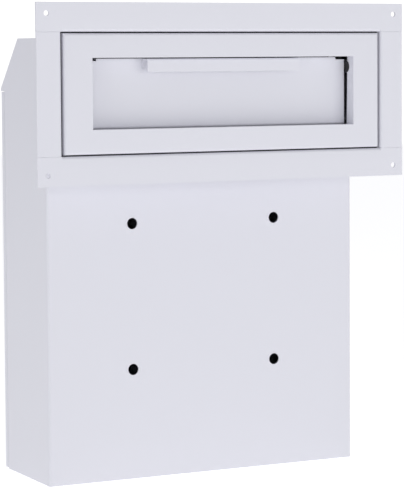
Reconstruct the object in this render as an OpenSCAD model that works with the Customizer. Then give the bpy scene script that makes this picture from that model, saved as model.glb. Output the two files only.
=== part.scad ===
// Through-the-door drop box in folded sheet steel: a body on the inner face of a door, a neck through
// the door, a trim flange on its outer face and a pull-down flap in the mouth.
// +X is to the right seen from outside, +Y points indoors, +Z is up. The origin is the middle of the base.

/* [Body] */
// Width of the body
body_w = 305; // [260:1:380]
// Height of the body
body_h = 392; // [360:1:480]
// Depth of the body with its rear door shut
body_d = 106; // [95:1:150]
// Thickness of the body sheet
sheet = 1.5; // [1:0.1:2]
// Outer radius of a bend in the sheet
bend = 2.5; // [2.2:0.1:4]
// How far the sloping back runs forward from the rear face
slope_run = 42; // [30:1:55]
// How far the sloping back drops below the top
slope_drop = 45; // [30:1:60]
// Width of the stiffening flanges turned in round the rear of the body
rear_lip = 12; // [10:1:16]

/* [Door bolts] */
// Spacing of the four body bolts across
bolt_dx = 142; // [100:1:180]
// Spacing of the four body bolts up and down
bolt_dz = 130; // [90:1:140]
// Height of the lower pair of bolts
bolt_z = 98; // [70:1:110]
// Diameter of the bolt holes
bolt_hole = 10; // [8:0.5:12]

/* [Trim flange] */
// Gap between flange and body for the thickest door leaf
door_gap = 44.5; // [42:0.5:60]
// Travel of the front unit towards the body for thinner leaves
slide_travel = 9.5; // [6:0.5:9.5]
// Thickness of the flange
flange_t = 2; // [1.5:0.1:2.5]
// Height of the flange's top and bottom rails
rail_h = 25.2; // [22:0.1:32]
// Width of the flange's side strips
strip_w = 22.8; // [20:0.1:30]
// Depth of the sleeve turned back round the opening
sleeve_d = 14; // [12:0.5:14]
// Distance of the screw holes from the flange's edges
screw_inset = 9.5; // [8:0.5:11]
// Diameter of the flange's screw holes
screw_hole = 4.8; // [4:0.1:6]

/* [Front frame] */
// Gap between flange opening and frame at each side
side_gap = 2.2; // [2:0.1:4]
// Gap between flange opening and frame above and below
rail_gap = 1.2; // [1:0.1:3]
// Clearance between frame and neck at each side
neck_play = 0.75; // [0.5:0.05:1.5]
// Clearance between frame and neck above and below
neck_rise = 1.9; // [1.4:0.1:2.4]
// Height of the frame's outside
frame_h = 103.3; // [96:0.1:112]
// Length of the frame's walls
frame_d = 34.5; // [34:0.5:36]
// Width of the face beside the mouth
stile_w = 26.4; // [24:0.1:32]
// Height of the face above and below the mouth
border_h = 21; // [20:0.1:26]
// Depth of the mouth's side returns at the top
return_top = 10.7; // [9:0.1:12]
// Depth of the mouth's side returns at the bottom
return_low = 12.2; // [9:0.1:12.4]

/* [Flap] */
// Depth of the flap behind the face
flap_set = 15; // [14:0.5:18]
// Thickness of the flap sheet
flap_t = 1.2; // [1:0.1:1.5]
// Gap between the flap and each side return
flap_play = 1.1; // [0.9:0.05:1.3]
// Gap between the flap and the head of the mouth
head_play = 0.7; // [0.6:0.1:1.5]
// Depth of the flange folded back along the top of the flap
flap_fold = 8; // [6:0.5:9]
// Width of the corner notches in that flange
notch_w = 9; // [6:0.5:12]
// Drop of the corner notches
notch_h = 2; // [1.5:0.1:3]
// How far the flap opens, in degrees
flap_open = 50; // [35:1:55]
// Diameter of the hinge rod
rod_d = 4; // [3:0.5:5]
// Diameter of the rubber side buffers
buffer_d = 10.8; // [8:0.2:12]

/* [Pull handle] */
// Length of the pull handle
pull_w = 150; // [100:1:200]
// Reach of the pull in front of the flap
pull_reach = 11.5; // [10:0.5:13]
// Height of its front lip
pull_lip = 11.5; // [9:0.5:16]

/* [Rear door] */
// Depth of the door's turned rim
rim_d = 8; // [7.5:0.5:12]
// Gap round the door
reveal = 0.6; // [0.5:0.1:1.2]
// Length of each butt hinge
hinge_len = 50; // [40:1:70]
// Distance of each hinge from the end of the door
hinge_inset = 45; // [35:1:70]
// Outer diameter of the hinge knuckles
knuckle_d = 6; // [5:0.5:7]
// Diameter of the hinge pins
pin_d = 3; // [2.5:0.5:3]

/* [Lock] */
// Diameter of the lock barrel
barrel_d = 16; // [14:0.5:19]
// Distance of the lock from the opening edge of the door
lock_inset = 28; // [27:0.5:32]
// Length of the cam from the lock's axis to its tip
cam_len = 24; // [22:0.5:25]
// Thickness of the cam
cam_t = 2.5; // [2:0.1:3]

/* [Hidden] */

round_fn = 48;
white = "gainsboro";
steel = "silver";
rubber = "dimgray";

// How far a cut runs past the piece it is made in
cut = 1;

// Body: the front face, the rear face and the plane where the rear door meets the body
half_w = body_w / 2;
inner_w = half_w - sheet;
front_y = -body_d / 2;
back_y = body_d / 2;
seam_y = back_y - rim_d;
lip_y = seam_y - reveal;
slope_z = body_h - slope_drop;
slope_y = back_y - slope_run;
slope_a = atan2(slope_drop, slope_run);
header_z = slope_z - sheet / cos(slope_a);
door_top = header_z - reveal;
bolt_mid_z = bolt_z + bolt_dz / 2;

// Front unit: every depth in it is measured back from the face
face_y = front_y - door_gap - flange_t;
frame_half_w = half_w + neck_play + sheet;
mouth_half_w = frame_half_w - stile_w;
chute_z = body_h + neck_rise + sheet - frame_h / 2;
frame_top = chute_z + frame_h / 2;
frame_low = chute_z - frame_h / 2;
mouth_top = frame_top - border_h;
mouth_low = frame_low + border_h;
open_half_w = frame_half_w + side_gap;
open_half_h = frame_h / 2 + rail_gap;
flange_half_w = open_half_w + strip_w;
flange_half_h = open_half_h + rail_h;
screw_dx = 2 * (flange_half_w - screw_inset);
screw_dz = 2 * (flange_half_h - screw_inset);

// Rivets, each given as the diameter and height of its head, and the weather seal round the frame
rivet_d = 3;
rivet_head = [6, 1.1];
rivet_tail_d = 4.6;
sleeve_rivet_y = face_y + 10.6;
sleeve_rivet_xs = [-100, 0, 100];
sleeve_collar_d = 6;
sleeve_tail = 0.7;
seal_front = face_y + 6;
seal_back = face_y + 7.2;

// Neck: it stops short of the face by what the front unit travels
neck_low = frame_low + sheet + neck_rise;
neck_clear = 1.5;
neck_y = face_y + slide_travel + sheet + neck_clear;
neck_leg = 14;

// Baffle behind the neck
baffle_gap = 2;
baffle_leg = 12;
baffle_run = 46;
baffle_drop = 30;
baffle_lip = 10;
baffle_play = 1;

// Adjusting screws: heads, washers and nuts are each given as a diameter or width, and a thickness
adjust_y = face_y + frame_d - 5.5;
adjust_dz = 56;
adjust_d = 5;
adjust_hole = adjust_d + 0.4;
adjust_head = [9, 1.6];
adjust_washer = [11, 0.8];
adjust_nut = [8, 4];
cross_slot = [1.4, 4.5, 0.9];

// Flap: its face, its hinge axis and the cheeks that turn about it
flap_half_w = mouth_half_w - flap_play;
flap_y = face_y + flap_set;
sill_lap = 0.6;
sill_gap = 0.6;
flap_top = mouth_top - head_play;
flap_low = mouth_low - sill_lap;
flap_bend = 3;
spring_r = 3.6;
spring_wire = 1;
axis_y = flap_y + flap_t + spring_r + 0.5;
axis_z = flap_low + flap_t + spring_r + 0.7;
cheek_r = flap_top - notch_h - axis_z;
cheek_margin_a = 6;
cheek_back = 8;
rod_play = 0.1;

// The cheeks carry lugs that meet the rear edges of the mouth's returns when the flap is fully open
stop_r = cheek_r - 22;
stop_size = 4;
stop_reach = 2.4;
stop_margin = 1;
stop_a = flap_open - asin((axis_y - face_y - return_low - stop_margin) / stop_r);
cheek_a = stop_a + cheek_margin_a;

// Hinge brackets, rod and clips
bracket_x = mouth_half_w + sheet;
bracket_t = 1.5;
bracket_r = 7;
bracket_hole = rod_d + 0.1;
rod_end = 4;
clip_t = 0.8;
clip_gap = 0.2;
clip_d = rod_d + 5;

// Side buffers: a head, a neck through the return and a bead behind it
buffer_y = face_y + 12.8;
buffer_z = mouth_top - 9.2;
buffer_proud = 0.4;
buffer_bead = 1.5;
buffer_hole = buffer_d - 2.4;

// Closing stop behind the head of the mouth, and its foam pad
pad_t = 2;
pad_gap = 0.3;
pad_inset = 6;
stop_half_w = flap_half_w - flap_t - 4;
stop_y = flap_y + flap_fold + pad_t + pad_gap;
stop_leg_low = flap_top - 9;

// Pull handle
pull_t = 1.2;
pull_bend = 2;
pull_top = flap_top - 0.2;
pull_leg = 9;
handle_rivet_xs = [-0.4 * pull_w, 0, 0.4 * pull_w];
handle_rivet_z = pull_top - 6;

// Rear door hinges, welded to the right side
door_low = 1;
hinge_x = half_w + knuckle_d / 2 + 0.2;
hinge_leaf_t = 1.2;
hinge_leaf_w = 16;
hinge_zs = [hinge_inset + hinge_len / 2, door_top - hinge_inset - hinge_len / 2];
knuckle_gap = 0.3;
leaf_gap = 0.4;
pin_hole = pin_d + 0.1;
pin_head = [knuckle_d - 1, 1.5];

// Lock
lock_x = -(half_w - lock_inset);
lock_z = door_top / 2;
cam_gap = 0.6;
cam_w = 14;
cam_y = lip_y - sheet - cam_gap - cam_t;
barrel_play = 0.1;
barrel_gap = 0.3;
barrel_flange = [22, 2.5];
plug_d = barrel_d - 5;
plug_play = 0.05;
plug_proud = 0.4;
square_af = 7;
key_slot = [1.2, 8, 6.8];
nut_af = barrel_d + 6;
nut_t = 3.5;
cam_screw_d = 3;
cam_screw_len = 5;
cam_screw_head = [9, 2];

// A box given by its lowest and highest corners
module block(lo, hi) {
  translate(lo) cube(hi - lo);
}

// A copy of the children at each side of the middle plane
module both_sides() {
  children();
  mirror([1, 0, 0]) children();
}

// A rod along X between two x values
module rod_x(x0, x1, y, z, d) {
  translate([x0, y, z]) rotate([0, 90, 0]) cylinder(h = x1 - x0, d = d, $fn = round_fn);
}

// A rod along Y between two y values
module rod_y(y0, y1, x, z, d) {
  translate([x, y1, z]) rotate([90, 0, 0]) cylinder(h = y1 - y0, d = d, $fn = round_fn);
}

// A rod along Z between two z values
module rod_z(z0, z1, x, y, d) {
  translate([x, y, z0]) cylinder(h = z1 - z0, d = d, $fn = round_fn);
}

// A plate across X whose outline is drawn in the Y-Z plane
module plate_x(x0, x1) {
  translate([x0, 0, 0]) rotate([90, 0, 90]) linear_extrude(x1 - x0) children();
}

// The quarter round of a vertical bend: its outer corner at the front left when turned by 0
module bend_z(x, y, z0, z1, turn, r, t) {
  translate([x, y, z0]) rotate([0, 0, turn])
    rotate_extrude(angle = 90, $fn = round_fn) translate([r - t, 0]) square([t, z1 - z0]);
}

// The quarter round of a bend along X, turned about the X axis
module bend_x(x0, x1, y, z, turn, r, t) {
  translate([x0, y, z]) rotate([90, 0, 90]) rotate([0, 0, turn])
    rotate_extrude(angle = 90, $fn = round_fn) translate([r - t, 0]) square([t, x1 - x0]);
}

// Front panel and both sides of the body from one sheet, with the sides running on as the neck's cheeks
module body_wrap() {
  color(white)
  difference() {
    union() {
      block([-half_w + bend, front_y, 0], [half_w - bend, front_y + sheet, neck_low + sheet - bend]);
      both_sides() {
        bend_z(half_w - bend, front_y + bend, 0, neck_low + sheet - bend, -90, bend, sheet);
        plate_x(inner_w, half_w) polygon([
          [front_y + bend, 0], [lip_y, 0], [lip_y, header_z], [back_y, header_z],
          [back_y, slope_z], [slope_y, body_h], [neck_y, body_h], [neck_y, neck_low],
          [front_y + bend, neck_low]]);
        block([inner_w - rear_lip, lip_y - sheet, sheet], [inner_w, lip_y, header_z - rear_lip]);
      }
    }
    for (x = [-1, 1], z = [-1, 1])
      rod_y(front_y - cut, front_y + sheet + cut, x * bolt_dx / 2, bolt_mid_z + z * bolt_dz / 2, bolt_hole);
    at_adjusters() rod_x(inner_w - cut, half_w + cut, 0, 0, adjust_hole);
  }
}

// Head of the neck, top, sloping back and the rear header, folded from one sheet between the sides
module top_panel() {
  color(white) plate_x(-inner_w, inner_w) polygon([
    [neck_y, body_h], [slope_y, body_h], [back_y, slope_z], [back_y, header_z],
    [lip_y, header_z], [lip_y, header_z - rear_lip], [lip_y - sheet, header_z - rear_lip],
    [lip_y - sheet, header_z + sheet], [back_y - sheet / tan(slope_a), header_z + sheet],
    [slope_y - sheet * tan(slope_a / 2), body_h - sheet], [neck_y, body_h - sheet]]);
}

// Base of the body: a shallow tray with its edges turned up
module bottom_pan() {
  side = inner_w - rear_lip;
  front = half_w - bend;
  color(white) union() {
    block([-inner_w, front_y + bend, 0], [inner_w, lip_y, sheet]);
    block([-front, front_y + sheet, 0], [front, front_y + bend, sheet]);
    block([-front, front_y + sheet, sheet], [front, front_y + 2 * sheet, rear_lip]);
    block([-side, lip_y - sheet, sheet], [side, lip_y, rear_lip + sheet]);
    both_sides() block([inner_w - sheet, front_y + 2 * sheet, sheet],
                       [inner_w, lip_y - 2 * sheet, rear_lip]);
  }
}

// Floor of the neck, with a leg turned down behind the front panel and welded to it
module neck_floor() {
  leg_y = front_y + sheet;
  half = half_w - bend;
  color(white) union() {
    block([-inner_w, neck_y, neck_low], [inner_w, leg_y + sheet - bend, neck_low + sheet]);
    bend_x(-half, half, leg_y + sheet - bend, neck_low + sheet - bend, 0, bend, sheet);
    block([-half, leg_y, neck_low - neck_leg], [half, leg_y + sheet, neck_low + sheet - bend]);
  }
}

// Plate that slopes down behind the neck, so nothing can be fished back out; its leg is welded on
module baffle() {
  fall = sheet / cos(atan2(baffle_drop, baffle_run));
  y0 = front_y + sheet;
  y1 = y0 + sheet + baffle_run;
  z0 = neck_low - neck_leg - baffle_gap;
  z1 = z0 - baffle_drop;
  half = inner_w - baffle_play;
  color(white) plate_x(-half, half) polygon([
    [y0, z0 - baffle_leg], [y0 + sheet, z0 - baffle_leg], [y0 + sheet, z0 - fall], [y1, z1 - fall],
    [y1, z1 - fall - baffle_lip], [y1 + sheet, z1 - fall - baffle_lip], [y1 + sheet, z1],
    [y0 + sheet, z0], [y0, z0]]);
}

// Where the four adjusting screws stand
module at_adjusters() {
  both_sides() for (z = [-1, 1])
    translate([0, adjust_y, chute_z + z * adjust_dz / 2]) children();
}

// Weld nuts inside the neck
module adjusting_nuts() {
  color(steel) at_adjusters() difference() {
    translate([inner_w - adjust_nut[1], 0, 0]) rotate([0, 90, 0])
      cylinder(h = adjust_nut[1], d = adjust_nut[0] / cos(30), $fn = 6);
    rod_x(inner_w - adjust_nut[1] - cut, inner_w + cut, 0, 0, adjust_d);
  }
}

module adjusting_washers() {
  x0 = frame_half_w;
  color(steel) at_adjusters() difference() {
    rod_x(x0, x0 + adjust_washer[1], 0, 0, adjust_washer[0]);
    rod_x(x0 - cut, x0 + adjust_washer[1] + cut, 0, 0, adjust_hole);
  }
}

// Pan head screws that clamp the frame to the neck once it is set to the door leaf
module adjusting_screws() {
  x0 = frame_half_w + adjust_washer[1];
  color(steel) at_adjusters() difference() {
    union() {
      rod_x(inner_w - adjust_nut[1] - 1, x0, 0, 0, adjust_d);
      rod_x(x0, x0 + adjust_head[1], 0, 0, adjust_head[0]);
    }
    for (turn = [0, 90]) translate([x0 + adjust_head[1], 0, 0]) rotate([turn, 0, 0])
      cube(cross_slot, center = true);
  }
}

// One flange rail: flat against the door, with its opening edge turned back as part of the sleeve
module flange_rail() {
  flat = [flange_half_w, flange_t, rail_h];
  color(white) difference() {
    union() {
      block([-flat[0], face_y, open_half_h + bend], [flat[0], face_y + flange_t, flange_half_h]);
      for (s = [-1, 1])
        block([min(s * open_half_w, s * flat[0]), face_y, open_half_h],
              [max(s * open_half_w, s * flat[0]), face_y + flange_t, open_half_h + bend]);
      bend_x(-open_half_w, open_half_w, face_y + bend, open_half_h + bend, 180, bend, flange_t);
      block([-open_half_w, face_y + bend, open_half_h],
            [open_half_w, face_y + sleeve_d, open_half_h + flange_t]);
    }
    for (s = [-1, 1])
      rod_y(face_y - cut, face_y + flange_t + cut, s * screw_dx / 2, screw_dz / 2, screw_hole);
    for (x = sleeve_rivet_xs)
      rod_z(open_half_h - cut, open_half_h + flange_t + cut, x, sleeve_rivet_y, rivet_d);
  }
}

module flange_top_rail() {
  translate([0, 0, chute_z]) flange_rail();
}

module flange_bottom_rail() {
  translate([0, 0, chute_z]) mirror([0, 0, 1]) flange_rail();
}

// One side strip between the rails, with its own part of the sleeve
module flange_strip() {
  color(white) translate([0, 0, chute_z]) union() {
    block([open_half_w + bend, face_y, -open_half_h], [flange_half_w, face_y + flange_t, open_half_h]);
    bend_z(open_half_w + bend, face_y + bend, -open_half_h, open_half_h, 180, bend, flange_t);
    block([open_half_w, face_y + bend, -open_half_h],
          [open_half_w + flange_t, face_y + sleeve_d, open_half_h]);
  }
}

module flange_right_strip() {
  flange_strip();
}

module flange_left_strip() {
  mirror([1, 0, 0]) flange_strip();
}

// Rivets through sleeve and frame, with a collar that keeps the gap between them
module sleeve_rivets() {
  tail_z = frame_h / 2 - sheet - sleeve_tail;
  head_z = open_half_h + flange_t;
  color(steel) translate([0, 0, chute_z])
    for (m = [0, 1], x = sleeve_rivet_xs) mirror([0, 0, m]) union() {
      rod_z(tail_z, head_z, x, sleeve_rivet_y, rivet_d);
      rod_z(frame_h / 2, open_half_h, x, sleeve_rivet_y, sleeve_collar_d);
      rod_z(head_z, head_z + rivet_head[1], x, sleeve_rivet_y, rivet_head[0]);
      rod_z(tail_z, frame_h / 2 - sheet, x, sleeve_rivet_y, rivet_tail_d);
    }
}

// Weather strip that closes the gap between sleeve and frame, in front of the rivets
module weather_seal() {
  color(rubber) translate([0, 0, chute_z]) difference() {
    block([-open_half_w, seal_front, -open_half_h], [open_half_w, seal_back, open_half_h]);
    block([-frame_half_w, seal_front - cut, -frame_h / 2], [frame_half_w, seal_back + cut, frame_h / 2]);
  }
}

// Outline of the frame's section, given by its half width or height and its length
module pan_profile(half, depth, inset) {
  r = bend - inset;
  translate([-half + inset + r, face_y + inset]) square([2 * (half - inset - r), r]);
  translate([-half + inset, face_y + inset + r]) square([2 * (half - inset), depth - inset - r]);
  for (s = [-1, 1]) translate([s * (half - inset - r), face_y + inset + r]) circle(r, $fn = round_fn);
}

// A shallow box open at the back, with every front edge rounded
module pan(half_x, half_z, depth, inset) {
  intersection() {
    translate([0, 0, -half_z + inset]) linear_extrude(2 * (half_z - inset))
      pan_profile(half_x, depth, inset);
    translate([-half_x + inset, 0, 0]) rotate([90, 0, 90]) linear_extrude(2 * (half_x - inset))
      rotate([0, 0, 90]) mirror([0, 1, 0]) pan_profile(half_z, depth, inset);
  }
}

// Front frame: face with the mouth cut in it, walls folded back over the neck, returns round the mouth
module front_frame() {
  return_y = face_y + sheet;
  color(white) difference() {
    union() {
      difference() {
        translate([0, 0, chute_z]) pan(frame_half_w, frame_h / 2, frame_d, 0);
        translate([0, 0, chute_z]) pan(frame_half_w, frame_h / 2, frame_d + cut, sheet);
        block([-mouth_half_w, face_y - cut, mouth_low], [mouth_half_w, face_y + sheet + cut, mouth_top]);
      }
      both_sides() {
        plate_x(mouth_half_w, mouth_half_w + sheet) polygon([
          [return_y, mouth_low - sheet], [face_y + return_low, mouth_low - sheet],
          [face_y + return_low, mouth_low], [face_y + return_top, mouth_top],
          [face_y + return_top, mouth_top + sheet], [return_y, mouth_top + sheet]]);
        rod_x(mouth_half_w, mouth_half_w + sheet, buffer_y, buffer_z, buffer_d);
      }
      block([-mouth_half_w, return_y, mouth_top], [mouth_half_w, face_y + return_low, mouth_top + sheet]);
      block([-mouth_half_w, return_y, mouth_low - sheet], [mouth_half_w, flap_y - sill_gap, mouth_low]);
    }
    both_sides() {
      rod_x(mouth_half_w - cut, mouth_half_w + sheet + cut, buffer_y, buffer_z, buffer_hole);
      for (z = [-1, 1]) adjuster_slot(chute_z + z * adjust_dz / 2);
    }
    for (m = [0, 1], x = sleeve_rivet_xs) translate([0, 0, chute_z]) mirror([0, 0, m])
      rod_z(frame_h / 2 - sheet - cut, frame_h / 2 + cut, x, sleeve_rivet_y, rivet_d);
  }
}

// Slot in the frame's side wall, as long as the front unit travels
module adjuster_slot(z) {
  y0 = adjust_y - slide_travel;
  x0 = frame_half_w - sheet - cut;
  x1 = frame_half_w + cut;
  for (y = [y0, adjust_y]) rod_x(x0, x1, y, z, adjust_hole);
  block([x0, y0, z - adjust_hole / 2], [x1, adjust_y, z + adjust_hole / 2]);
}

// Rubber buffers pushed into the side returns, which keep the flap quiet and centred
module side_buffers() {
  x0 = mouth_half_w;
  color(rubber) both_sides() {
    rod_x(x0 - buffer_proud, x0, buffer_y, buffer_z, buffer_d);
    rod_x(x0, x0 + sheet, buffer_y, buffer_z, buffer_hole);
    rod_x(x0 + sheet, x0 + sheet + buffer_bead, buffer_y, buffer_z, buffer_d);
  }
}

// Angle behind the head of the mouth that the closed flap comes to rest on
module closing_stop() {
  z0 = mouth_top + sheet;
  color(white) union() {
    block([-stop_half_w, face_y + sheet, z0], [stop_half_w, stop_y, z0 + sheet]);
    block([-stop_half_w, stop_y, stop_leg_low], [stop_half_w, stop_y + sheet, z0 + sheet]);
  }
}

// Foam strip glued to the stop's leg
module closing_pad() {
  half = stop_half_w - pad_inset;
  color(rubber) block([-half, stop_y - pad_t, stop_leg_low + 1], [half, stop_y, mouth_top]);
}

// Lugs welded outside the side returns, which carry the hinge rod
module hinge_brackets() {
  x1 = bracket_x + bracket_t;
  color(steel) both_sides() difference() {
    union() {
      rod_x(bracket_x, x1, axis_y, axis_z, 2 * bracket_r);
      block([bracket_x, face_y + sheet, axis_z - bracket_r], [x1, axis_y, axis_z + bracket_r]);
    }
    rod_x(bracket_x - cut, x1 + cut, axis_y, axis_z, bracket_hole);
  }
}

module flap_rod() {
  half = bracket_x + bracket_t + rod_end;
  color(steel) rod_x(-half, half, axis_y, axis_z, rod_d);
}

// Push-on clips at the ends of the rod
module rod_clips() {
  x0 = bracket_x + bracket_t + clip_gap;
  color(steel) both_sides() difference() {
    rod_x(x0, x0 + clip_t, axis_y, axis_z, clip_d);
    rod_x(x0 - cut, x0 + clip_t + cut, axis_y, axis_z, rod_d);
  }
}

// A cheek of the flap: a sector about the hinge rod, from the flap's face to the stop lug
module cheek() {
  x0 = flap_half_w - flap_t;
  reach = cheek_r + cut;
  intersection() {
    union() {
      rod_x(x0, flap_half_w, axis_y, axis_z, 2 * cheek_r);
      block([x0, flap_y + flap_t, axis_z], [flap_half_w, axis_y, flap_top - notch_h]);
    }
    plate_x(x0 - cut, flap_half_w + cut) polygon([
      [flap_y + flap_t, flap_low + flap_t], [axis_y + cheek_back, flap_low + flap_t],
      [axis_y + cheek_back, axis_z],
      [axis_y + reach * sin(cheek_a), axis_z + reach * cos(cheek_a)],
      [axis_y, axis_z + reach], [flap_y + flap_t, axis_z + reach]]);
  }
}

// Flap: face, rounded sill, top flange between its corner notches, and a cheek at each side
module flap() {
  color(white) difference() {
    union() {
      block([-flap_half_w, flap_y, flap_low + flap_bend],
            [flap_half_w, flap_y + flap_t, flap_top - notch_h]);
      block([-flap_half_w + notch_w, flap_y, flap_top - notch_h],
            [flap_half_w - notch_w, flap_y + flap_fold, flap_top]);
      bend_x(-flap_half_w, flap_half_w, flap_y + flap_bend, flap_low + flap_bend, 180, flap_bend, flap_t);
      block([-flap_half_w, flap_y + flap_bend, flap_low],
            [flap_half_w, axis_y + cheek_back, flap_low + flap_t]);
      both_sides() {
        cheek();
        translate([0, axis_y, axis_z]) rotate([-stop_a, 0, 0])
          block([flap_half_w - flap_t, -flap_t, stop_r - stop_size / 2],
                [flap_half_w + stop_reach, 0, stop_r + stop_size / 2]);
      }
    }
    block([-flap_half_w + notch_w - cut, flap_y + flap_t, flap_top - notch_h - cut],
          [flap_half_w - notch_w + cut, flap_y + flap_fold + cut, flap_top - flap_t]);
    rod_x(-flap_half_w - cut, flap_half_w + cut, axis_y, axis_z, rod_d + 2 * rod_play);
    for (x = handle_rivet_xs) rod_y(flap_y - cut, flap_y + flap_t + cut, x, handle_rivet_z, rivet_d);
  }
}

// Pull handle: a channel folded from strip, one leg on the flap and the lip in front of it
module pull_handle() {
  y0 = flap_y - pull_reach;
  r = pull_bend;
  half = pull_w / 2;
  color(white) difference() {
    union() {
      block([-half, flap_y - pull_t, pull_top - pull_leg], [half, flap_y, pull_top - pull_t]);
      block([-half, y0 + r, pull_top - pull_t], [half, flap_y, pull_top]);
      bend_x(-half, half, y0 + r, pull_top - r, 90, r, pull_t);
      block([-half, y0, pull_top - pull_lip], [half, y0 + pull_t, pull_top - r]);
    }
    for (x = handle_rivet_xs) rod_y(flap_y - pull_t - cut, flap_y + cut, x, handle_rivet_z, rivet_d);
  }
}

// A pop rivet along Y: its head in front of y0 and its set tail behind y1
module rivet_y(x, z, y0, y1) {
  rod_y(y0, y1, x, z, rivet_d);
  rod_y(y0 - rivet_head[1], y0, x, z, rivet_head[0]);
  rod_y(y1, y1 + rivet_head[1], x, z, rivet_tail_d);
}

module handle_rivets() {
  color(steel) for (x = handle_rivet_xs)
    rivet_y(x, handle_rivet_z, flap_y - pull_t, flap_y + flap_t);
}

// Torsion spring round the rod, with one arm on the flap's floor
module flap_spring() {
  turns = 6;
  steps = 16;
  x0 = 60;
  arm_drop = 3;
  pitch = spring_wire + 0.3;
  mid_r = spring_r - spring_wire / 2;
  coil = [for (i = [0 : turns * steps])
    let (a = 360 * i / steps) [x0 + pitch * i / steps, mid_r * cos(a), mid_r * sin(a)]];
  arm = [x0, mid_r, -arm_drop];
  color(steel) translate([0, axis_y, axis_z]) wire(concat([arm], coil), spring_wire);
}

// Wire of diameter d along a list of points: a ring of eight corners at each point
module wire(path, d) {
  sides = 8;
  n = len(path);
  function along(i) = let (v = path[min(i + 1, n - 1)] - path[max(i - 1, 0)]) v / norm(v);
  function across(t) = let (v = abs(t[0]) < 0.9 ? cross(t, [1, 0, 0]) : cross(t, [0, 1, 0])) v / norm(v);
  rings = [for (i = [0 : n - 1]) let (t = along(i), u = across(t), v = cross(t, u))
    for (k = [0 : sides - 1]) path[i] + d / 2 * (u * cos(360 * k / sides) + v * sin(360 * k / sides))];
  walls = [for (i = [0 : n - 2], k = [0 : sides - 1])
    [i * sides + k, (i + 1) * sides + k, (i + 1) * sides + (k + 1) % sides, i * sides + (k + 1) % sides]];
  ends = [[for (k = [0 : sides - 1]) k], [for (k = [sides - 1 : -1 : 0]) (n - 1) * sides + k]];
  polyhedron(rings, concat(walls, ends));
}

// Rear door: a pan that closes flush with the sides and top of the body
module rear_door() {
  mid_z = (door_low + door_top) / 2;
  half_z = (door_top - door_low) / 2;
  color(white) difference() {
    door_pan(half_z, mid_z, rim_d, 0);
    door_pan(half_z, mid_z, rim_d + cut, sheet);
    rod_y(back_y - sheet - cut, back_y + cut, lock_x, lock_z, barrel_d + 2 * barrel_play);
  }
}

// The solid inside the door's outer or inner faces, with the edges of the skin rounded
module door_pan(half_z, mid_z, depth, inset) {
  translate([0, 0, mid_z]) mirror([0, 1, 0]) translate([0, -back_y - face_y, 0])
    pan(half_w, half_z, depth, inset);
}

// The knuckles of one hinge, each given by its lowest and highest point
module knuckles(zs) {
  for (z = zs) rod_z(z[0], z[1], hinge_x, seam_y, knuckle_d);
}

// Where one hinge's three knuckles lie
function knuckle_zs(mid) = let (third = hinge_len / 3, shy = third - knuckle_gap)
  [for (i = [-1 : 1]) [mid + i * third - shy / 2, mid + i * third + shy / 2]];

// Body halves of the two butt hinges, welded to the right side
module door_hinge_body_leaves() {
  leaf_y = seam_y - knuckle_d / 2 - leaf_gap;
  color(white) for (mid = hinge_zs) {
    zs = knuckle_zs(mid);
    difference() {
      union() {
        knuckles([zs[0], zs[2]]);
        block([half_w, seam_y - hinge_leaf_w, mid - hinge_len / 2],
              [half_w + hinge_leaf_t, leaf_y, mid + hinge_len / 2]);
        for (z = [zs[0], zs[2]])
          block([half_w, leaf_y, z[0]], [half_w + hinge_leaf_t, seam_y - reveal, z[1]]);
      }
      rod_z(mid - hinge_len, mid + hinge_len, hinge_x, seam_y, pin_hole);
    }
  }
}

// Door halves of the hinges, welded to the door's rim
module door_hinge_door_leaves() {
  color(white) for (mid = hinge_zs) {
    z = knuckle_zs(mid)[1];
    difference() {
      union() {
        knuckles([z]);
        block([half_w, seam_y, z[0]], [half_w + hinge_leaf_t, back_y - bend, z[1]]);
      }
      rod_z(mid - hinge_len, mid + hinge_len, hinge_x, seam_y, pin_hole);
    }
  }
}

module door_hinge_pins() {
  color(steel) for (mid = hinge_zs) {
    rod_z(mid - hinge_len / 2, mid + hinge_len / 2, hinge_x, seam_y, pin_d);
    for (z = [mid - hinge_len / 2 - pin_head[1], mid + hinge_len / 2])
      rod_z(z, z + pin_head[1], hinge_x, seam_y, pin_head[0]);
  }
}

// Lock housing through the door, with its flange outside
module lock_barrel() {
  color(steel) difference() {
    union() {
      rod_y(cam_y + cam_t + barrel_gap, back_y, lock_x, lock_z, barrel_d);
      rod_y(back_y, back_y + barrel_flange[1], lock_x, lock_z, barrel_flange[0]);
    }
    rod_y(cam_y, back_y + barrel_flange[1] + cut, lock_x, lock_z, plug_d + 2 * plug_play);
  }
}

module lock_nut() {
  y1 = back_y - sheet;
  color(steel) difference() {
    translate([lock_x, y1, lock_z]) rotate([90, 0, 0]) cylinder(h = nut_t, d = nut_af / cos(30), $fn = 6);
    rod_y(y1 - nut_t - cut, y1 + cut, lock_x, lock_z, barrel_d);
  }
}

// Turning core of the lock, with its key slot and the square that drives the cam
module lock_plug() {
  y1 = back_y + barrel_flange[1] + plug_proud;
  color(steel) difference() {
    union() {
      rod_y(cam_y + cam_t, y1, lock_x, lock_z, plug_d);
      block([lock_x - square_af / 2, cam_y, lock_z - square_af / 2],
            [lock_x + square_af / 2, cam_y + cam_t, lock_z + square_af / 2]);
    }
    block([lock_x - key_slot[0] / 2, y1 - key_slot[1], lock_z - key_slot[2] / 2],
          [lock_x + key_slot[0] / 2, y1 + cut, lock_z + key_slot[2] / 2]);
    rod_y(cam_y - cut, cam_y + cam_screw_len, lock_x, lock_z, cam_screw_d);
  }
}

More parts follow.
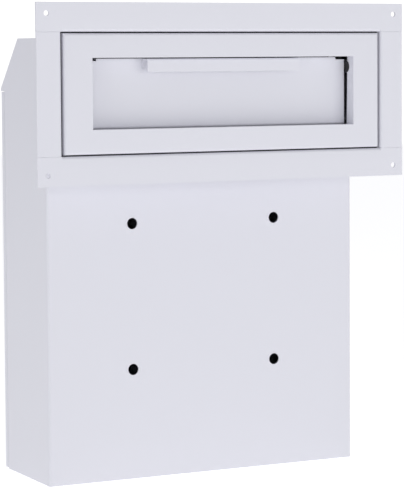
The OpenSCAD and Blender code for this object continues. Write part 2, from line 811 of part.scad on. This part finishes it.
// Cam: it hangs down when the lock is open and reaches behind the body's rear lip when it is shut
module lock_cam() {
  tip_z = lock_z - cam_len + cam_w / 2;
  color(steel) difference() {
    union() {
      for (z = [tip_z, lock_z]) rod_y(cam_y, cam_y + cam_t, lock_x, z, cam_w);
      block([lock_x - cam_w / 2, cam_y, tip_z], [lock_x + cam_w / 2, cam_y + cam_t, lock_z]);
    }
    block([lock_x - square_af / 2, cam_y - cut, lock_z - square_af / 2],
          [lock_x + square_af / 2, cam_y + cam_t + cut, lock_z + square_af / 2]);
  }
}

module cam_screw() {
  color(steel) union() {
    rod_y(cam_y, cam_y + cam_screw_len, lock_x, lock_z, cam_screw_d);
    rod_y(cam_y - cam_screw_head[1], cam_y, lock_x, lock_z, cam_screw_head[0]);
  }
}

body_wrap();
top_panel();
bottom_pan();
neck_floor();
baffle();
adjusting_nuts();
adjusting_washers();
adjusting_screws();
door_hinge_body_leaves();
door_hinge_pins();
flange_top_rail();
flange_bottom_rail();
flange_left_strip();
flange_right_strip();
sleeve_rivets();
weather_seal();
front_frame();
closing_stop();
closing_pad();
hinge_brackets();
flap_rod();
rod_clips();
side_buffers();
flap();
pull_handle();
handle_rivets();
flap_spring();
rear_door();
door_hinge_door_leaves();
lock_barrel();
lock_nut();
lock_plug();
lock_cam();
cam_screw();
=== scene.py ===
import math

import bmesh
import bpy
from mathutils import Matrix, Vector


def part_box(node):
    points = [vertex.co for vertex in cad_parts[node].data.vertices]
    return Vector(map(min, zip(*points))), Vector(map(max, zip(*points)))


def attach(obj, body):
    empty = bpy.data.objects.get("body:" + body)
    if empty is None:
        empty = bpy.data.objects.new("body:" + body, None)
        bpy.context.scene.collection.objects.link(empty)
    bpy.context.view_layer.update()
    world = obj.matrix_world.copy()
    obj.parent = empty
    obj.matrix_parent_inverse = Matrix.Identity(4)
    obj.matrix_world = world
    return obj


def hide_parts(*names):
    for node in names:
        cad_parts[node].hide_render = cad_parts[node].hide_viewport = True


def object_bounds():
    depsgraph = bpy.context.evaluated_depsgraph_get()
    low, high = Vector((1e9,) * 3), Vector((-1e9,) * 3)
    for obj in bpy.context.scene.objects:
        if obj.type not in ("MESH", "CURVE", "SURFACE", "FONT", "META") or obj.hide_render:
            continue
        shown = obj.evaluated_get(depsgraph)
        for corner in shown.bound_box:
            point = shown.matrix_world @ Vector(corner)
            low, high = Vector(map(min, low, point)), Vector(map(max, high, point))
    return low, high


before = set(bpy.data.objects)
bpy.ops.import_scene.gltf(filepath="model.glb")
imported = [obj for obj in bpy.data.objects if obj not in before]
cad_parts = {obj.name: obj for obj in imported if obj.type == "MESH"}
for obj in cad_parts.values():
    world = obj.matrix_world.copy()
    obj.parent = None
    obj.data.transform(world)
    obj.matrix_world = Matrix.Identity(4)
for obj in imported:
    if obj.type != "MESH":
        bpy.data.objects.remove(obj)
cad_low, cad_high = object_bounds()

# ---- Body shell ----------------------------------------------------------------------------------------
# The front panel and both sides are one sheet of 1.5 mm steel, punched and folded, with the sides running on
# as the cheeks of the neck. It is welded to the other sheets and sprayed with white polyester powder.


def linear(code):
    """The linear colour of an sRGB hex code such as "E6E6EC"."""
    shares = [int(code[i : i + 2], 16) / 255 for i in (0, 2, 4)]
    return [s / 12.92 if s <= 0.04045 else ((s + 0.055) / 1.055) ** 2.4 for s in shares] + [1.0]


def add(tree, kind, links=None, **settings):
    """Adds a node with its settings, and its inputs linked or set."""
    made = tree.nodes.new(kind)
    for name, value in settings.items():
        setattr(made, name, value)
    for socket, source in (links or {}).items():
        if isinstance(source, bpy.types.NodeSocket):
            tree.links.new(source, made.inputs[socket])
        else:
            made.inputs[socket].default_value = source
    return made


def finish_of(name, **inputs):
    """A new material with a Principled shader set up with these inputs: (material, tree, shader)."""
    material = bpy.data.materials.new(name)
    material.use_nodes = True
    tree = material.node_tree
    shader = tree.nodes["Principled BSDF"]
    for socket, value in inputs.items():
        shader.inputs[socket.replace("_", " ")].default_value = value
    return material, tree, shader


# Polyester powder coat, sprayed dry and baked on steel: a satin skin of even colour. Its orange peel has
# waves of about 2 mm and a few microns high, drawn somewhat higher so that it breaks up the highlights.
powder_coat, tree, shader = finish_of(
    "polyester_powder_coat_white", Base_Color=linear("E7E7EE"), Metallic=0.0, Roughness=0.42, IOR=1.5
)
at = add(tree, "ShaderNodeTexCoord").outputs["Object"]
peel = add(tree, "ShaderNodeTexNoise", {"Vector": at, "Scale": 1 / 0.002, "Detail": 2.0, "Roughness": 0.45})
bump = add(tree, "ShaderNodeBump", {"Height": peel.outputs["Fac"], "Strength": 0.35, "Distance": 0.00006})
tree.links.new(bump.outputs["Normal"], shader.inputs["Normal"])
cloud = add(tree, "ShaderNodeTexNoise", {"Vector": at, "Scale": 1 / 0.04, "Detail": 3.0})
gloss = add(tree, "ShaderNodeMapRange", {"Value": cloud.outputs["Fac"], "To Min": 0.38, "To Max": 0.46})
tree.links.new(gloss.outputs["Result"], shader.inputs["Roughness"])


def place(piece, body, slot, *nodes):
    """Rides a finished piece on its body and lets it stand for its CAD nodes; slot is not used."""
    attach(piece, body)
    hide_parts(*nodes)
    return piece


def new_piece(name, mesh, finish):
    """An object in the scene with this mesh and one finish."""
    piece = bpy.data.objects.new(name, mesh)
    bpy.context.scene.collection.objects.link(piece)
    mesh.materials.clear()
    mesh.materials.append(finish)
    return piece


# Edges that turn by more than this are cut edges, and the rest are parts of a bend.
EDGE_ANGLE = math.radians(32)


def dulled(piece, edge):
    """Rounds a piece's cut edges by this radius, and shades it smooth between them."""
    piece.data.set_sharp_from_angle(angle=EDGE_ANGLE)
    bevel = piece.modifiers.new("cut_edges", "BEVEL")
    bevel.width, bevel.segments = edge, 2
    bevel.limit_method, bevel.angle_limit = "ANGLE", EDGE_ANGLE
    bevel.harden_normals = True
    return piece


# Corners within WELD of each other are one, and faces that turn by less than FLAT make one flat face.
WELD = 0.000002
FLAT = math.radians(0.6)


def formed(node, body, slot, finish, edge):
    """A piece with the form of a CAD node, its cut edges rounded as tumbling or the coat leaves them."""
    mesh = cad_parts[node].data.copy()
    mesh.name = node + "_formed"
    shape = bmesh.new()
    shape.from_mesh(mesh)
    bmesh.ops.remove_doubles(shape, verts=shape.verts, dist=WELD)
    bmesh.ops.dissolve_limit(shape, angle_limit=FLAT, verts=shape.verts, edges=shape.edges)
    shape.to_mesh(mesh)
    shape.free()
    for name in ("custom_normal", "sharp_edge", "sharp_face"):
        if name in mesh.attributes:
            mesh.attributes.remove(mesh.attributes[name])
    mesh.shade_smooth()
    return place(dulled(new_piece(node + "_formed", mesh, finish), edge), body, slot, node)


SHEET_EDGE = 0.0003
formed("body_wrap", "box", "white_powder_coat", powder_coat, SHEET_EDGE)

# ---- Top, base, neck floor and baffle ------------------------------------------------------------------
# Four more folded sheets welded in between the sides: the top with its slope and rear header, the base
# tray, the floor of the neck, and a baffle that slopes down behind it. They have the coat of the shell.
for node in ("top_panel", "bottom_pan", "neck_floor", "baffle"):
    formed(node, "box", "white_powder_coat", powder_coat, SHEET_EDGE)

# ---- Rivets --------------------------------------------------------------------------------------------
# Zinc-plated steel pop rivets, set from outside: a domed head with the broken mandrel at its middle, a shank
# through both sheets and a squashed tail behind them.

# Bright zinc plate with a clear passivate: pale, slightly blue, with soft cloudy spangle of 1 or 2 mm.
zinc_plate, tree, shader = finish_of(
    "bright_zinc_plate", Base_Color=linear("BFC3C9"), Metallic=1.0, Roughness=0.34
)
at = add(tree, "ShaderNodeTexCoord").outputs["Object"]
cloud = add(tree, "ShaderNodeTexNoise", {"Vector": at, "Scale": 1 / 0.0015, "Detail": 2.0})
# A colour Mix takes its factor at socket 0 and its colours at 6 and 7, and gives the result at output 2.
tone = add(
    tree,
    "ShaderNodeMix",
    {0: cloud.outputs["Fac"], 6: linear("B4B8BF"), 7: linear("CBCED3")},
    data_type="RGBA",
)
tree.links.new(tone.outputs[2], shader.inputs["Base Color"])


def tree_of(name, sockets):
    """A Geometry Nodes tree with these named inputs, given as name: (socket type, value)."""
    made = bpy.data.node_groups.new(name, "GeometryNodeTree")
    for label, (kind, value) in sockets.items():
        socket = made.interface.new_socket(label, in_out="INPUT", socket_type="NodeSocket" + kind)
        socket.default_value = value
    made.interface.new_socket("Geometry", in_out="OUTPUT", socket_type="NodeSocketGeometry")
    return made, add(made, "NodeGroupInput").outputs


def close_tree(tree, geometry, finish):
    """Ends a tree: instances made real, and their material set."""
    real = add(tree, "GeometryNodeRealizeInstances", {"Geometry": geometry})
    coat = add(
        tree, "GeometryNodeSetMaterial", {"Geometry": real.outputs["Geometry"], "Material": finish}
    )
    add(tree, "NodeGroupOutput", {"Geometry": coat.outputs["Geometry"]})


def grown(name, tree, finish, **values):
    """The plain mesh piece that a tree gives with these inputs."""
    seed = bpy.data.objects.new(name + "_seed", bpy.data.meshes.new(name + "_seed"))
    bpy.context.scene.collection.objects.link(seed)
    nodes = seed.modifiers.new("tree", "NODES")
    nodes.node_group = tree
    inputs = [socket for socket in tree.interface.items_tree if socket.in_out == "INPUT"]
    places = {socket.name.replace(" ", "_"): socket.identifier for socket in inputs}
    for label, value in values.items():
        nodes[places[label]] = value
    whole = seed.evaluated_get(bpy.context.evaluated_depsgraph_get())
    mesh = bpy.data.meshes.new_from_object(whole)
    mesh.name = name
    seed.modifiers.remove(nodes)
    bpy.data.objects.remove(seed)
    mesh.set_sharp_from_angle(angle=EDGE_ANGLE)
    return new_piece(name, mesh, finish)


# A row has three rivets, with heads 6 mm wide and 1.1 mm high.
IN_ROW = 3
HEAD_R = 0.003
HEAD_H = 0.0011

# One row of rivets: Count of them from First, Step apart, each with its head at Tilt's +Z end.
rivets, given = tree_of(
    "pop_rivet_row",
    {
        "Count": ("Int", IN_ROW),
        "First": ("Vector", (0.0, 0.0, 0.0)),
        "Step": ("Vector", (0.1, 0.0, 0.0)),
        "Tilt": ("Rotation", (0.0, 0.0, 0.0)),
        "Head Radius": ("Float", HEAD_R),
        "Head Height": ("Float", HEAD_H),
        "Shank Radius": ("Float", 0.0015),
        "Grip": ("Float", 0.003),
        "Tail Radius": ("Float", 0.0023),
        "Tail Height": ("Float", 0.0011),
    },
)
ball = add(rivets, "GeometryNodeMeshUVSphere", {"Segments": 28, "Rings": 14, "Radius": 1.0})
dome = add(
    rivets,
    "GeometryNodeTransform",
    {
        "Geometry": ball.outputs["Mesh"],
        "Scale": add(
            rivets,
            "ShaderNodeCombineXYZ",
            {"X": given["Head Radius"], "Y": given["Head Radius"], "Z": given["Head Height"]},
        ).outputs["Vector"],
    },
)


def rod(tree, radius, height, middle, sides=24):
    """A short rod on Z about the height middle."""
    made = add(tree, "GeometryNodeMeshCylinder", {"Vertices": sides, "Radius": radius, "Depth": height})
    up = add(tree, "ShaderNodeCombineXYZ", {"Z": middle}).outputs["Vector"]
    return add(tree, "GeometryNodeTransform", {"Geometry": made.outputs["Mesh"], "Translation": up})


def times(tree, value, factor):
    """A value in a tree multiplied by a number."""
    return add(tree, "ShaderNodeMath", {0: value, 1: factor}, operation="MULTIPLY").outputs["Value"]


mandrel = rod(
    rivets,
    times(rivets, given["Shank Radius"], 0.6),
    times(rivets, given["Head Height"], 0.3),
    times(rivets, given["Head Height"], 0.98),
    sides=16,
)
shank = rod(rivets, given["Shank Radius"], given["Grip"], times(rivets, given["Grip"], -0.5))
tail_middle = add(
    rivets,
    "ShaderNodeMath",
    {0: times(rivets, given["Grip"], -1.0), 1: times(rivets, given["Tail Height"], 0.5)},
    operation="SUBTRACT",
)
tail = rod(rivets, given["Tail Radius"], given["Tail Height"], tail_middle.outputs["Value"])
rivet = add(rivets, "GeometryNodeJoinGeometry")
for part in (dome, mandrel, shank, tail):
    rivets.links.new(part.outputs["Geometry"], rivet.inputs["Geometry"])
line = add(
    rivets,
    "GeometryNodeMeshLine",
    {"Count": given["Count"], "Start Location": given["First"], "Offset": given["Step"]},
)
row = add(
    rivets,
    "GeometryNodeInstanceOnPoints",
    {"Points": line.outputs["Mesh"], "Instance": rivet.outputs["Geometry"], "Rotation": given["Tilt"]},
)
close_tree(rivets, row.outputs["Instances"], zinc_plate)


def rivet_row(name, body, node, first, last, tilt, **values):
    """A row of rivets from one place to another that stands for a CAD node, or for a part of it."""
    step = (Vector(last) - Vector(first)) / (IN_ROW - 1)
    piece = grown(name, rivets, zinc_plate, First=first, Step=tuple(step), Tilt=tilt, **values)
    return place(piece, body, "zinc_plated_steel", node)


# ---- Adjusting screws ----------------------------------------------------------------------------------
# Four M5 pan head screws with washers, turned into weld nuts inside the neck. They clamp the front unit to
# the neck through slots in the frame's side walls. All are bright zinc plated.
for node, edge in (("adjusting_screws", 0.0004), ("adjusting_washers", 0.0002), ("adjusting_nuts", 0.0003)):
    formed(node, "box", "zinc_plated_steel", zinc_plate, edge)

# ---- Trim flange ---------------------------------------------------------------------------------------
# Two full-width rails of 2 mm steel above and below the opening and a strip at each side between them, each
# with its inner edge turned back as a sleeve. The joints stay visible as fine lines under the coat.
for node in ("flange_top_rail", "flange_bottom_rail", "flange_left_strip", "flange_right_strip"):
    formed(node, "front_unit", "white_powder_coat", powder_coat, edge=0.0004)

# Six pop rivets join the sleeve to the front frame, three above and three below. They pass through 2 mm
# of rail, a gap of 1.2 mm and 1.5 mm of frame, and their tails are squashed low to clear the neck. The
# gap is too narrow to see into, so the collars in it are left out.
SLEEVE_GRIP = 0.0047
LOW_TAIL = 0.0007
low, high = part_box("sleeve_rivets")
left, right, depth = low.x + HEAD_R, high.x - HEAD_R, (low.y + high.y) / 2
for name, height, turned in (
    ("sleeve_rivets_above", high.z - HEAD_H, 0.0),
    ("sleeve_rivets_below", low.z + HEAD_H, math.pi),
):
    rivet_row(
        name,
        "front_unit",
        "sleeve_rivets",
        (left, depth, height),
        (right, depth, height),
        (turned, 0.0, 0.0),
        Grip=SLEEVE_GRIP,
        Tail_Height=LOW_TAIL,
    )

# ---- Weather seal, painted shade in the gap ------------------------------------------------------------
# A moulded strip of EPDM rubber pressed into the gap between sleeve and frame, in front of the rivets. It is
# matt, near black and faintly grained. It is also painted shade: a dark strip set where the gap would only
# be in shadow, so that the fine line stays dark and the rivets behind it don't show.
rubber, tree, shader = finish_of(
    "black_epdm_rubber", Base_Color=linear("1D1D1F"), Roughness=0.72, IOR=1.5
)
at = add(tree, "ShaderNodeTexCoord").outputs["Object"]
grain = add(tree, "ShaderNodeTexNoise", {"Vector": at, "Scale": 1 / 0.0006, "Detail": 3.0})
bump = add(tree, "ShaderNodeBump", {"Height": grain.outputs["Fac"], "Strength": 0.4, "Distance": 0.00005})
tree.links.new(bump.outputs["Normal"], shader.inputs["Normal"])
# The seal is a dark strip that stands in for the shade inside the gap between sleeve and frame.
formed("weather_seal", "front_unit", "black_rubber", rubber, edge=0.0004)

# ---- Front frame ---------------------------------------------------------------------------------------
# One sheet of 1.5 mm steel drawn into a shallow pan over the neck, with the mouth punched in its face,
# short returns folded back round it and pressed edges 2.5 mm in radius. An angle behind the head of the
# mouth stops the flap as it shuts. Both have the white powder coat inside and out.
formed("front_frame", "front_unit", "white_powder_coat", powder_coat, SHEET_EDGE)
formed("closing_stop", "front_unit", "white_powder_coat", powder_coat, SHEET_EDGE)

# Closed-cell foam strip glued to the stop, which quiets the flap. Its cells are about 0.5 mm across.
foam, tree, shader = finish_of(
    "black_closed_cell_foam", Base_Color=linear("232325"), Roughness=0.9, IOR=1.4
)
at = add(tree, "ShaderNodeTexCoord").outputs["Object"]
cells = add(tree, "ShaderNodeTexVoronoi", {"Vector": at, "Scale": 1 / 0.0005})
bump = add(
    tree, "ShaderNodeBump", {"Height": cells.outputs["Distance"], "Strength": 0.6, "Distance": 0.0001}
)
tree.links.new(bump.outputs["Normal"], shader.inputs["Normal"])
formed("closing_pad", "front_unit", "black_foam", foam, edge=0.0005)

# ---- Hinge of the flap ---------------------------------------------------------------------------------
# Two zinc-plated lugs welded outside the mouth's returns, a bright rod of drawn steel through them, and a
# push-on clip at each end of the rod.
for node, edge in (("hinge_brackets", 0.0003), ("rod_clips", 0.0002)):
    formed(node, "front_unit", "zinc_plated_steel", zinc_plate, edge)

# Bright drawn steel: fine lines run along the rod, from the die.
drawn_steel, tree, shader = finish_of(
    "bright_drawn_steel", Base_Color=linear("B2B2B4"), Metallic=1.0, Roughness=0.3
)
at = add(tree, "ShaderNodeTexCoord").outputs["Object"]
along = add(tree, "ShaderNodeMapping", {"Vector": at, "Scale": (0.04, 1.0, 1.0)})
lines = add(
    tree, "ShaderNodeTexNoise", {"Vector": along.outputs["Vector"], "Scale": 1 / 0.0003, "Detail": 3.0}
)
dull = add(tree, "ShaderNodeMapRange", {"Value": lines.outputs["Fac"], "To Min": 0.22, "To Max": 0.4})
tree.links.new(dull.outputs["Result"], shader.inputs["Roughness"])
formed("flap_rod", "front_unit", "bright_steel", drawn_steel, edge=0.0005)

# ---- Side buffers --------------------------------------------------------------------------------------
# A rubber button pushed through each side return: a low flat head towards the flap, a neck in the hole and a
# bead behind it. It is the same rubber as the seal, and keeps the flap centred and quiet.
formed("side_buffers", "front_unit", "black_rubber", rubber, edge=0.00018)

# ---- Flap ----------------------------------------------------------------------------------------------
# One sheet of 1.2 mm steel: a flat face, a rounded sill, a notched flange along the top and a cheek folded
# back at each side, bored for the rod. White powder coat.
THIN_EDGE = 0.00025
formed("flap", "flap_unit", "white_powder_coat", powder_coat, THIN_EDGE)

# ---- Pull handle ---------------------------------------------------------------------------------------
# A strip of 1.2 mm steel folded to a channel that opens downwards: one leg lies on the flap, and the other
# is the lip that the fingers pull. The tree folds a ribbon to this section, which then gets its thickness.
low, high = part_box("pull_handle")
STRIP = 0.0012
REAR_LEG = 0.009
FOLD = 0.002
strip, given = tree_of(
    "folded_strip",
    {
        "Length": ("Float", 0.15),
        "Reach": ("Float", 0.01),
        "Lip": ("Float", 0.01),
        "Leg": ("Float", REAR_LEG),
        "Bend": ("Float", FOLD),
        "Corner": ("Vector", (0.0, 0.0, 0.0)),
    },
)


def corner(**sides):
    """A corner of the strip's section."""
    return add(strip, "ShaderNodeCombineXYZ", sides).outputs["Vector"]


section = add(
    strip,
    "GeometryNodeCurvePrimitiveQuadrilateral",
    {
        "Point 1": corner(Z=times(strip, given["Leg"], -1.0)),
        "Point 2": corner(),
        "Point 3": corner(Y=times(strip, given["Reach"], -1.0)),
        "Point 4": corner(Y=times(strip, given["Reach"], -1.0), Z=times(strip, given["Lip"], -1.0)),
    },
    mode="POINTS",
)
opened = add(strip, "GeometryNodeSetSplineCyclic", {"Geometry": section.outputs["Curve"], "Cyclic": False})
rounded = add(
    strip,
    "GeometryNodeFilletCurve",
    {"Curve": opened.outputs["Geometry"], "Radius": given["Bend"], "Count": 7},
    mode="POLY",
)
edge = add(strip, "GeometryNodeCurveToMesh", {"Curve": rounded.outputs["Curve"]})
ribbon = add(
    strip,
    "GeometryNodeExtrudeMesh",
    {
        "Mesh": edge.outputs["Mesh"],
        "Offset": add(strip, "ShaderNodeCombineXYZ", {"X": given["Length"]}).outputs["Vector"],
        "Offset Scale": 1.0,
    },
    mode="EDGES",
)
put = add(
    strip, "GeometryNodeTransform", {"Geometry": ribbon.outputs["Mesh"], "Translation": given["Corner"]}
)
close_tree(strip, put.outputs["Geometry"], powder_coat)
handle = grown(
    "pull_handle_folded",
    strip,
    powder_coat,
    Length=high.x - low.x,
    Reach=high.y - low.y,
    Lip=high.z - low.z,
    Corner=(low.x, high.y, high.z),
)
thickness = handle.modifiers.new("sheet", "SOLIDIFY")
thickness.thickness, thickness.offset, thickness.use_even_offset = STRIP, 1.0, True
place(dulled(handle, THIN_EDGE), "flap_unit", "white_powder_coat", "pull_handle")

# Three pop rivets hold the handle's rear leg on the flap, heads to the front, out of sight behind the lip.
TO_FRONT = (math.radians(90), 0.0, 0.0)
low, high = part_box("handle_rivets")
left, right, height = low.x + HEAD_R, high.x - HEAD_R, (low.z + high.z) / 2
rivet_row(
    "handle_rivets_set",
    "flap_unit",
    "handle_rivets",
    (left, low.y + HEAD_H, height),
    (right, low.y + HEAD_H, height),
    TO_FRONT,
    Grip=2 * STRIP,
)

# ---- Torsion spring ------------------------------------------------------------------------------------
# Six turns of 1 mm spring wire wound round the rod, with one arm on the flap's floor, so that the flap shuts
# by itself. The wire is bare, and dark from its heat treatment.
spring_wire, tree, shader = finish_of(
    "oil_tempered_spring_wire", Base_Color=linear("6F6E70"), Metallic=1.0, Roughness=0.38
)
WIRE = 0.0005
coil, given = tree_of(
    "torsion_spring",
    {
        "Turns": ("Float", 6.0),
        "Coil Radius": ("Float", 0.0031),
        "Wire Radius": ("Float", WIRE),
        "Length": ("Float", 0.008),
        "Arm": ("Float", 0.003),
        "Middle": ("Vector", (0.0, 0.0, 0.0)),
    },
)
turns = add(
    coil,
    "GeometryNodeCurveSpiral",
    {
        "Resolution": 28,
        "Rotations": given["Turns"],
        "Start Radius": given["Coil Radius"],
        "End Radius": given["Coil Radius"],
        "Height": given["Length"],
    },
)
start = add(coil, "ShaderNodeCombineXYZ", {"X": given["Coil Radius"]}).outputs["Vector"]
end = add(
    coil, "ShaderNodeCombineXYZ", {"X": given["Coil Radius"], "Y": times(coil, given["Arm"], -1.0)}
).outputs["Vector"]
arm = add(coil, "GeometryNodeCurvePrimitiveLine", {"Start": end, "End": start})
wires = add(coil, "GeometryNodeJoinGeometry")
coil.links.new(turns.outputs["Curve"], wires.inputs["Geometry"])
coil.links.new(arm.outputs["Curve"], wires.inputs["Geometry"])
ring = add(coil, "GeometryNodeCurvePrimitiveCircle", {"Resolution": 12, "Radius": given["Wire Radius"]})
wire = add(
    coil,
    "GeometryNodeCurveToMesh",
    {"Curve": wires.outputs["Geometry"], "Profile Curve": ring.outputs["Curve"], "Fill Caps": True},
)
laid = add(
    coil,
    "GeometryNodeTransform",
    {
        "Geometry": wire.outputs["Mesh"],
        "Rotation": (math.radians(90), 0.0, math.radians(90)),
        "Translation": given["Middle"],
    },
)
close_tree(coil, laid.outputs["Geometry"], spring_wire)
low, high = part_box("flap_spring")
rod_low, rod_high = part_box("flap_rod")
axis = (rod_low + rod_high) / 2
spring = grown(
    "flap_spring_wound",
    coil,
    spring_wire,
    Coil_Radius=high.z - axis.z - WIRE,
    Length=high.x - low.x - 2 * WIRE,
    Middle=(low.x + WIRE, axis.y, axis.z),
)
place(spring, "flap_unit", "spring_wire", "flap_spring")

# ---- Rear door -----------------------------------------------------------------------------------------
# A pan of 1.5 mm steel that closes flush with the sides, with its rim turned forwards and its bends 2.5 mm
# in radius. It hangs on two welded butt hinges with bright steel pins. Door and leaves have the same white
# powder coat as the body.
formed("rear_door", "door_unit", "white_powder_coat", powder_coat, SHEET_EDGE)
formed("door_hinge_body_leaves", "box", "painted_hinge_steel", powder_coat, SHEET_EDGE)
formed("door_hinge_door_leaves", "door_unit", "painted_hinge_steel", powder_coat, SHEET_EDGE)
formed("door_hinge_pins", "box", "bright_steel", drawn_steel, edge=0.0004)

# ---- Lock ----------------------------------------------------------------------------------------------
# A die-cast cam lock, polished and chromed: a flanged barrel held by a nut, a turning core with its key
# slot, and a plated steel cam screwed on the core's square.

# Bright chrome over polished zinc: a near mirror, very slightly blue, with faint polishing haze.
chrome, tree, shader = finish_of(
    "polished_chrome_plate", Base_Color=linear("D3D6DA"), Metallic=1.0, Roughness=0.1
)
formed("lock_barrel", "door_unit", "chromed_zinc", chrome, edge=0.0007)
formed("lock_plug", "lock_core", "chromed_zinc", chrome, edge=0.0002)
formed("lock_nut", "door_unit", "zinc_plated_steel", zinc_plate, edge=0.0004)
formed("lock_cam", "lock_core", "zinc_plated_steel", zinc_plate, edge=0.0003)
formed("cam_screw", "lock_core", "zinc_plated_steel", zinc_plate, edge=0.0003)

# ---- Studio --------------------------------------------------------------------------------------------
# A wide plain white floor that glows softly, so that shadows stay faint, and a white surround. The light
# comes from wide low soft boxes in front and at the left, with a weak one overhead.
floor_paint, tree, shader = finish_of(
    "matt_white_floor",
    Base_Color=linear("F4F4F4"),
    Roughness=0.9,
    Emission_Color=linear("FFFFFF"),
    Emission_Strength=0.63,
)
HALF_FLOOR = 6.0
FLOOR_GAP = 0.0002
CORNERS = ((-1, -1), (1, -1), (1, 1), (-1, 1))
plane = bpy.data.meshes.new("floor")
plane.from_pydata([(x * HALF_FLOOR, y * HALF_FLOOR, 0.0) for x, y in CORNERS], [], [(0, 1, 2, 3)])
floor = new_piece("floor", plane, floor_paint)
floor.location.z = cad_low.z - FLOOR_GAP

# The surround lights the object softly, and looks brighter than that behind it.

world = bpy.data.worlds.new("white_surround")
bpy.context.scene.world = world
world.use_nodes = True
tree = world.node_tree
lit = tree.nodes["Background"]
lit.inputs["Color"].default_value = linear("F8F9FF")
lit.inputs["Strength"].default_value = 0.4
seen = add(tree, "ShaderNodeBackground", {"Color": linear("FFFFFF"), "Strength": 1.1})
ray = add(tree, "ShaderNodeLightPath")
both = add(
    tree,
    "ShaderNodeMixShader",
    {0: ray.outputs["Is Camera Ray"], 1: lit.outputs["Background"], 2: seen.outputs["Background"]},
)
tree.links.new(both.outputs["Shader"], tree.nodes["World Output"].inputs["Surface"])


def soft_box(name, spot, width, height, watts):
    """A rectangular area light at this spot that faces the middle of the object."""
    light = bpy.data.lights.new(name, "AREA")
    light.shape, light.size, light.size_y, light.energy = "RECTANGLE", width, height, watts
    lamp = bpy.data.objects.new(name, light)
    lamp.location = spot
    lamp.rotation_euler = (middle - Vector(spot)).to_track_quat("-Z", "Y").to_euler()
    bpy.context.scene.collection.objects.link(lamp)


middle = (cad_low + cad_high) / 2
soft_box("front", (0.9, -2.8, 0.5), width=3.0, height=0.9, watts=13.0)
soft_box("left", (-2.8, -0.8, 0.5), width=2.0, height=0.9, watts=7.4)
soft_box("overhead", (0.2, -0.6, 2.6), width=2.4, height=2.4, watts=5.0)

bpy.context.scene.view_settings.view_transform = "Standard"
bpy.context.scene.view_settings.look = "None"

# ---- Camera --------------------------------------------------------------------------------------------
# A long lens two metres off, to the front and left of the object and level with the head of the mouth. It
# is turned to the right and tipped down by less than four degrees, with a slight roll.
SPOT = (-0.8734, -1.7947, 0.3757)
TURN = math.radians(-26.581)
TIP = math.radians(3.797)
ROLL = math.radians(-0.351)
lens = bpy.data.cameras.new("camera")
lens.sensor_width = 36.0
lens.lens = 160.35
lens.shift_y = -0.0902
camera = bpy.data.objects.new("camera", lens)
bpy.context.scene.collection.objects.link(camera)
camera.matrix_world = (
    Matrix.Translation(SPOT)
    @ Matrix.Rotation(TURN, 4, "Z")
    @ Matrix.Rotation(math.pi / 2 - TIP, 4, "X")
    @ Matrix.Rotation(ROLL, 4, "Z")
)
bpy.context.scene.camera = camera
